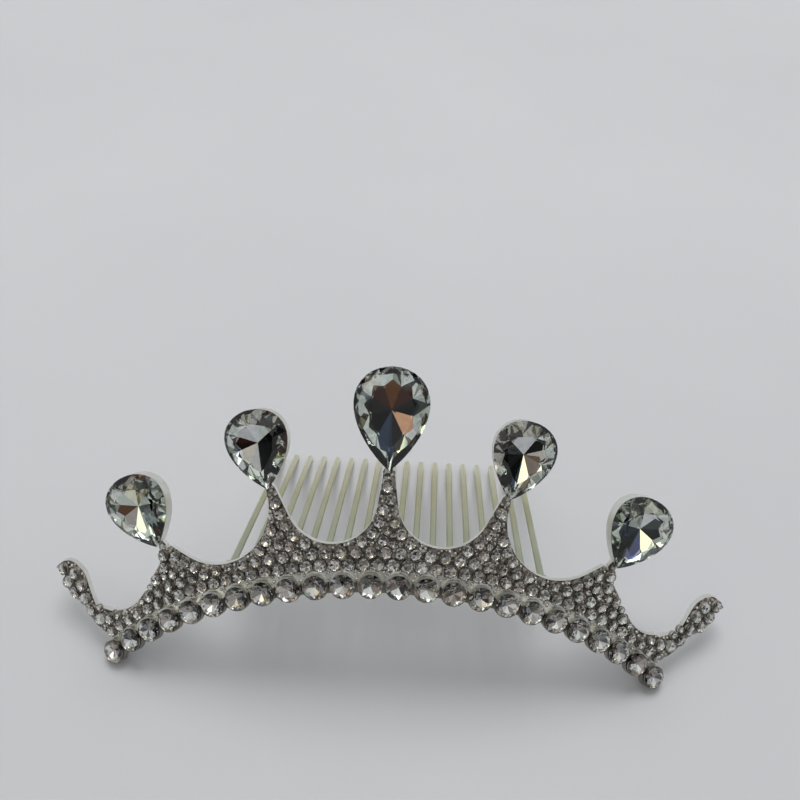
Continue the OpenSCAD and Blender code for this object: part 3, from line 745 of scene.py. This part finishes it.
smallSeats = {}
for side in ("left", "right"):
    dice = random.Random(smallCrystals["seed"] + len(side))
    smallSeats[side] = [stoneSeat(*solid) for solid in looseSolids(f"pave_{side}")]
    stones = []
    for seat in smallSeats[side]:
        outline, middle = roundOutline(seat)
        corners, faces = cutStone(outline, middle, smallCrystals["cut"], dice.random())
        zone = "ends" if abs(seat["place"][0]) > smallCrystals["endsFrom"] else "inner"
        facets = smallCrystals["cut"]["facets"]
        inner = [pickName(smallCrystals[zone], dice) for _ in range(facets)]
        paintedFacets = paintFacetReflections(faces, inner, smallCrystals, dice)
        stones.append((leaned(seat, smallCrystals["tilt"], dice), corners, faces, paintedFacets))
    stoneMesh(f"small_crystals_{side}", stones, [smallGlass, smallMirror], [f"pave_{side}"])
print("small crystals made:", sum(len(seats) for seats in smallSeats.values()))


def metalPiece(name, corners, faces, material):
    mesh = bpy.data.meshes.new(name)
    mesh.from_pydata([tuple(np.array(p) * toMetres) for p in corners], [], faces)
    mesh.materials.append(material)
    mesh.validate()
    mesh.shade_smooth()
    piece = bpy.data.objects.new(name, mesh)
    scene.collection.objects.link(piece)
    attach(piece, "root")


def strip(faces, start, rows, sides, step, across):
    # Faces between the rows of a ring: step leads on round it, across leads to the next row
    for k in range(sides):
        j = (k + 1) % sides
        for row in range(rows - 1):
            a, b = start + row * across, start + (row + 1) * across
            faces.append((a + k * step, a + j * step, b + j * step, b + k * step))


# Thin collars round the small crystals; bottom and top are in millimetres from the girdle, lip
# is the rounding of the edge in shares of the wall
collars = {"gap": 0.01, "wall": 0.04, "bottom": -0.62, "top": -0.06, "lip": 0.3, "taper": 0.1,
           "sides": 16}


def addCollar(corners, faces, seat):
    # An open ring: outside, lip, inside
    start, sides, wall, top = len(corners), collars["sides"], collars["wall"], collars["top"]
    radius = seat["width"] / 2 + collars["gap"]
    shoulder = top - collars["lip"] * wall
    profile = [(radius + wall, collars["bottom"]), (radius + wall, shoulder),
               (radius + 0.5 * wall, top), (radius, shoulder),
               (radius - collars["taper"], collars["bottom"])]
    for k in range(sides):
        a = 2 * math.pi * k / sides
        out = math.cos(a) * seat["side"] + math.sin(a) * seat["along"]
        for r, z in profile:
            corners.append(seat["place"] + r * out + z * seat["front"])
    strip(faces, start, len(profile), sides, len(profile), 1)


allSeats = smallSeats["left"] + smallSeats["right"]
corners, faces = [], []
for seat in allSeats:
    addCollar(corners, faces, seat)
metalPiece("small_collars", corners, faces, collarShadedSilver)
print("collars made:", len(allSeats))

# Round grains of metal strewn on the band's front where there is room, the larger first. Rows
# are (height, width) in shares of the radius. A grain is laid only where its rim, widened by
# edge and felt for from dropFrom above it, meets the band within drop
grains = {"radii": (0.36, 0.30, 0.25), "rise": 0.05, "apart": 0.04, "tries": 4000, "seed": 5,
          "sides": 8, "rows": ((-0.6, 1.0), (0.2, 0.98), (0.65, 0.7)), "faceSlack": 0.05,
          "belowGround": 0.4, "edge": 1.1, "edgeSteps": 6, "dropFrom": 0.3, "drop": 0.8,
          "neighbours": 3}


def addGrain(corners, faces, place, front, side, along, radius):
    start, sides, rows = len(corners), grains["sides"], grains["rows"]
    for lift, share in rows:
        for k in range(sides):
            a = 2 * math.pi * k / sides
            out = math.cos(a) * side + math.sin(a) * along
            corners.append(place + radius * (share * out + lift * front))
    corners.append(place + radius * front)
    strip(faces, start, len(rows), sides, 1, sides)
    last, top = start + (len(rows) - 1) * sides, len(corners) - 1
    for k in range(sides):
        faces.append((last + k, last + (k + 1) % sides, top))


def frontGround():
    # Triangles of the band's front above the round crystals, in millimetres
    tilt = math.radians(paveGround["tilt"])
    front = np.array((0, -math.cos(tilt), math.sin(tilt)))
    frontUp = np.array((0, math.sin(tilt), math.cos(tilt)))
    origin = np.array((0, paveGround["originY"], paveGround["originZ"])) / toMetres
    mesh = nodes["frame"].data
    mesh.calc_loop_triangles()
    places = np.array([v.co for v in mesh.vertices]) / toMetres
    triangles = np.array([t.vertices for t in mesh.loop_triangles])
    across = places[:, 0]
    deep = -(places - origin) @ front
    up = (places - origin) @ frontUp
    bend, arch = paveGround["bendRadius"] / toMetres, paveGround["archRadius"] / toMetres
    onFace = np.abs(np.hypot(across, bend - deep) - bend) < grains["faceSlack"]
    least = paveGround["fromHeight"] / toMetres - grains["belowGround"]
    return places, [t for t in triangles if onFace[t].all()
                    and np.hypot(across[t], up[t] + arch).mean() - arch > least]


def fromStone(spot, seat):
    # How far a spot is from a stone's girdle, seen along its front
    away = spot - seat["place"]
    return np.hypot(away @ seat["side"], away @ seat["along"]) - seat["width"] / 2


def strewGrains():
    places, triangles = frontGround()
    ground = BVHTree.FromPolygons([tuple(p) for p in places],
                                  [tuple(int(k) for k in t) for t in triangles])
    a, b, c = (places[[t[k] for t in triangles]] for k in range(3))
    normals = np.cross(b - a, c - a)
    areas = np.linalg.norm(normals, axis=1)
    normals /= areas[:, None]
    reach = np.cumsum(areas)
    dice = random.Random(grains["seed"])
    corners, faces, laid = [], [], []
    taken = KDTree(len(allSeats))
    for i, seat in enumerate(allSeats):
        taken.insert(tuple(seat["place"]), i)
    taken.balance()
    for radius in grains["radii"]:
        for _ in range(grains["tries"]):
            k = int(np.searchsorted(reach, dice.random() * reach[-1]))
            s, t = dice.random(), dice.random()
            if s + t > 1:
                s, t = 1 - s, 1 - t
            spot = a[k] + s * (b[k] - a[k]) + t * (c[k] - a[k])
            normal = normals[k]
            reachOut = radius + grains["apart"]
            close = [allSeats[i] for _, i, _ in taken.find_n(tuple(spot), grains["neighbours"])]
            if any(fromStone(spot, seat) < reachOut for seat in close):
                continue
            if any(np.linalg.norm(spot - p) < r + reachOut for p, r in laid):
                continue
            side = np.cross((0, 0, 1.0), normal)
            side /= np.linalg.norm(side)
            along = np.cross(normal, side)
            turns = (2 * math.pi * q / grains["edgeSteps"] for q in range(grains["edgeSteps"]))
            edge = [spot + grains["edge"] * radius * (math.cos(w) * side + math.sin(w) * along)
                    + grains["dropFrom"] * normal for w in turns]
            down = Vector(-normal)
            if not all(ground.ray_cast(Vector(p), down, grains["drop"])[0] for p in edge):
                continue
            laid.append((spot, radius))
            addGrain(corners, faces, spot + grains["rise"] * normal, normal, side, along, radius)
    metalPiece("small_grains", corners, faces, beadSilver)
    print("grains made:", len(laid))


strewGrains()

# The frame and the comb keep their own meshes and get the silver
for nodeName, material in (("frame", frameSilver), ("comb", combSilver)):
    mesh = nodes[nodeName].data
    mesh.materials.clear()
    mesh.materials.append(material)

# Floor: faint clouds between two tints, and painted light that makes it a little lighter away from
# the camera
floorLook = {"size": 3.0, "pale": (0.555, 0.56, 0.59), "deep": (0.535, 0.54, 0.57),
             "cloudScale": 6, "cloudDetail": 4, "cloudEdges": (0.35, 0.65), "nearShare": 0.94,
             "farShare": 1.05, "near": -0.06, "far": 0.16, "roughness": 0.6}


def makeFloor():
    half = floorLook["size"] / 2
    mesh = bpy.data.meshes.new("table_top")
    mesh.from_pydata([(-half, -half, 0), (half, -half, 0), (half, half, 0), (-half, half, 0)],
                     [], [(0, 1, 2, 3)])
    material, tree, shader = newMaterial("tableTop")
    where = addNode(tree, "ShaderNodeTexCoord", (-900, 0)).outputs["Object"]
    clouds = addNode(tree, "ShaderNodeTexNoise", (-700, 0))
    clouds.inputs["Scale"].default_value = floorLook["cloudScale"]
    clouds.inputs["Detail"].default_value = floorLook["cloudDetail"]
    wire(tree, where, clouds.inputs["Vector"])
    ramp = addNode(tree, "ShaderNodeValToRGB", (-450, 0))
    low, high = floorLook["cloudEdges"]
    setRamp(ramp, [(low, floorLook["deep"]), (high, floorLook["pale"])])
    wire(tree, clouds.outputs["Fac"], ramp.inputs["Fac"])
    place = addNode(tree, "ShaderNodeSeparateXYZ", (-700, -300))
    wire(tree, where, place.inputs["Vector"])
    # painted light: the floor's colour grows lighter away from the camera
    away = addNode(tree, "ShaderNodeMapRange", (-450, -300))
    for name, key in (("From Min", "near"), ("From Max", "far"), ("To Min", "nearShare"),
                      ("To Max", "farShare")):
        away.inputs[name].default_value = floorLook[key]
    wire(tree, place.outputs["Y"], away.inputs["Value"])
    shade = addNode(tree, "ShaderNodeVectorMath", (-150, 0), operation="SCALE")
    wire(tree, ramp.outputs["Color"], shade.inputs[0])
    wire(tree, away.outputs["Result"], shade.inputs["Scale"])
    wire(tree, shade.outputs["Vector"], shader.inputs["Base Color"])
    shader.inputs["Roughness"].default_value = floorLook["roughness"]
    mesh.materials.append(material)
    piece = bpy.data.objects.new("table_top", mesh)
    scene.collection.objects.link(piece)


makeFloor()
print("floor made")

# Room that the crystals and the silver mirror: a pale ramp from low to high, with dark patches
# on the camera's side, within patchReach (a cosine) of its direction
surroundings = {
    "low": (0.54, 0.55, 0.56), "middle": (0.56, 0.58, 0.58), "high": (0.80, 0.82, 0.81),
    "heights": (0.0, 0.35, 0.9), "backdrop": (0.70, 0.71, 0.74), "strength": 0.82,
    "towardCamera": (0.02, -0.60, 0.80), "patchReach": 0.45, "patchChance": 0.26, "patchCells": 5.5,
    "patches": [(0.0, (0.03, 0.03, 0.035)), (0.30, (0.10, 0.115, 0.14)), (0.46, (0.20, 0.16, 0.12)),
                (0.62, (0.05, 0.05, 0.05)), (0.78, (0.30, 0.27, 0.26)), (0.9, (0.12, 0.11, 0.11))],
}
# Round spots of the room, the later over the earlier: a dark one in front, a plain one, four
# windows; the angle is from the middle to the edge, in degrees
spots = [
    {"toward": (0.0, -0.85, 0.53), "angle": 21, "light": (0.07, 0.07, 0.075)},
    {"toward": (0.02, -0.60, 0.80), "angle": 23, "light": (0.50, 0.50, 0.51)},
    {"toward": (-0.10, 0.30, 1.0), "angle": 11, "light": (3.2, 3.2, 3.15)},
    {"toward": (-0.15, -0.325, 0.934), "angle": 7, "light": (1.9, 1.85, 1.5)},
    {"toward": (-0.62, -0.10, 0.78), "angle": 8, "light": (2.6, 2.5, 2.0)},
    {"toward": (0.70, 0.10, 0.70), "angle": 7, "light": (2.2, 2.25, 2.4)},
]


def makeSurroundings():
    world = bpy.data.worlds.new("surroundings")
    world.use_nodes = True
    scene.world = world
    tree = world.node_tree
    back = tree.nodes["Background"]
    where = addNode(tree, "ShaderNodeTexCoord", (-1400, 0)).outputs["Generated"]

    def within(direction, cosine):
        # 1 where the room lies near a direction
        toward = addNode(tree, "ShaderNodeVectorMath", (-1100, 600), operation="DOT_PRODUCT")
        toward.inputs[1].default_value = Vector(direction).normalized()
        wire(tree, where, toward.inputs[0])
        return calculate(tree, "GREATER_THAN", toward.outputs["Value"], cosine)

    split = addNode(tree, "ShaderNodeSeparateXYZ", (-1200, -200))
    wire(tree, where, split.inputs["Vector"])
    room = addNode(tree, "ShaderNodeValToRGB", (-900, -200))
    setRamp(room, [(height, surroundings[key])
                   for height, key in zip(surroundings["heights"], ("low", "middle", "high"))])
    wire(tree, split.outputs["Z"], room.inputs["Fac"])
    cells = addNode(tree, "ShaderNodeTexVoronoi", (-1100, 300))
    cells.inputs["Scale"].default_value = surroundings["patchCells"]
    wire(tree, where, cells.inputs["Vector"])
    pick = addNode(tree, "ShaderNodeSeparateColor", (-900, 300))
    wire(tree, cells.outputs["Color"], pick.inputs["Color"])
    patches = addNode(tree, "ShaderNodeValToRGB", (-700, 300))
    setRamp(patches, surroundings["patches"], "CONSTANT")
    wire(tree, pick.outputs["Red"], patches.inputs["Fac"])
    around = within(surroundings["towardCamera"], surroundings["patchReach"])
    chance = calculate(tree, "LESS_THAN", pick.outputs["Green"], surroundings["patchChance"])
    shade = overlay(tree, room.outputs["Color"], calculate(tree, "MULTIPLY", around, chance),
                    patches.outputs["Color"], (-300, 100))
    for spot in spots:
        inSpot = within(spot["toward"], math.cos(math.radians(spot["angle"])))
        shade = overlay(tree, shade, inSpot, spot["light"], (-100, 100))
    ray = addNode(tree, "ShaderNodeLightPath", (-300, 600))  # the camera sees a plain backdrop
    shade = overlay(tree, shade, ray.outputs["Is Camera Ray"], surroundings["backdrop"], (0, 100))
    wire(tree, shade, back.inputs["Color"])
    back.inputs["Strength"].default_value = surroundings["strength"]


makeSurroundings()
print("surroundings made")

# Soft overhead light, a little from behind, so that the shadow falls in front of the band
lampLook = {"from": (0.03, 0.50, 1.0), "angle": 36.0, "strength": 1.56, "colour": (1.0, 0.99, 0.97)}


def makeLamp():
    data = bpy.data.lights.new("overhead", "SUN")
    data.angle = math.radians(lampLook["angle"])
    data.energy = lampLook["strength"]
    data.color = lampLook["colour"]
    lamp = bpy.data.objects.new("overhead", data)
    lamp.rotation_euler = Vector(lampLook["from"]).to_track_quat("Z", "Y").to_euler()
    lamp.visible_glossy = False  # the crystals mirror the windows of the room instead
    lamp.visible_transmission = False
    scene.collection.objects.link(lamp)


makeLamp()
scene.view_settings.view_transform = "Standard"
scene.view_settings.exposure = 0
print("light made")

# Camera, at the photograph's place and angle; lens and sensor in millimetres, roll in degrees
viewpoint = {"place": (0.00303, -0.09267, 0.14193), "forward": (-0.01275, 0.7072, -0.7069),
             "roll": 1.78, "lens": 33.75, "sensor": 36.0, "nearest": 0.005, "farthest": 20}


def makeCamera():
    data = bpy.data.cameras.new("viewpoint")
    data.lens = viewpoint["lens"]
    data.sensor_width = viewpoint["sensor"]
    data.clip_start = viewpoint["nearest"]
    data.clip_end = viewpoint["farthest"]
    forward = Vector(viewpoint["forward"]).normalized()
    right = forward.cross(Vector((0, 0, 1))).normalized()
    up = right.cross(forward)
    roll = math.radians(viewpoint["roll"])
    right, up = (math.cos(roll) * right + math.sin(roll) * up,
                 math.cos(roll) * up - math.sin(roll) * right)
    camera = bpy.data.objects.new("viewpoint", data)
    turn = Matrix((right, up, -forward)).transposed().to_4x4()
    camera.matrix_world = Matrix.Translation(viewpoint["place"]) @ turn
    scene.collection.objects.link(camera)
    scene.camera = camera


makeCamera()
print("camera made")
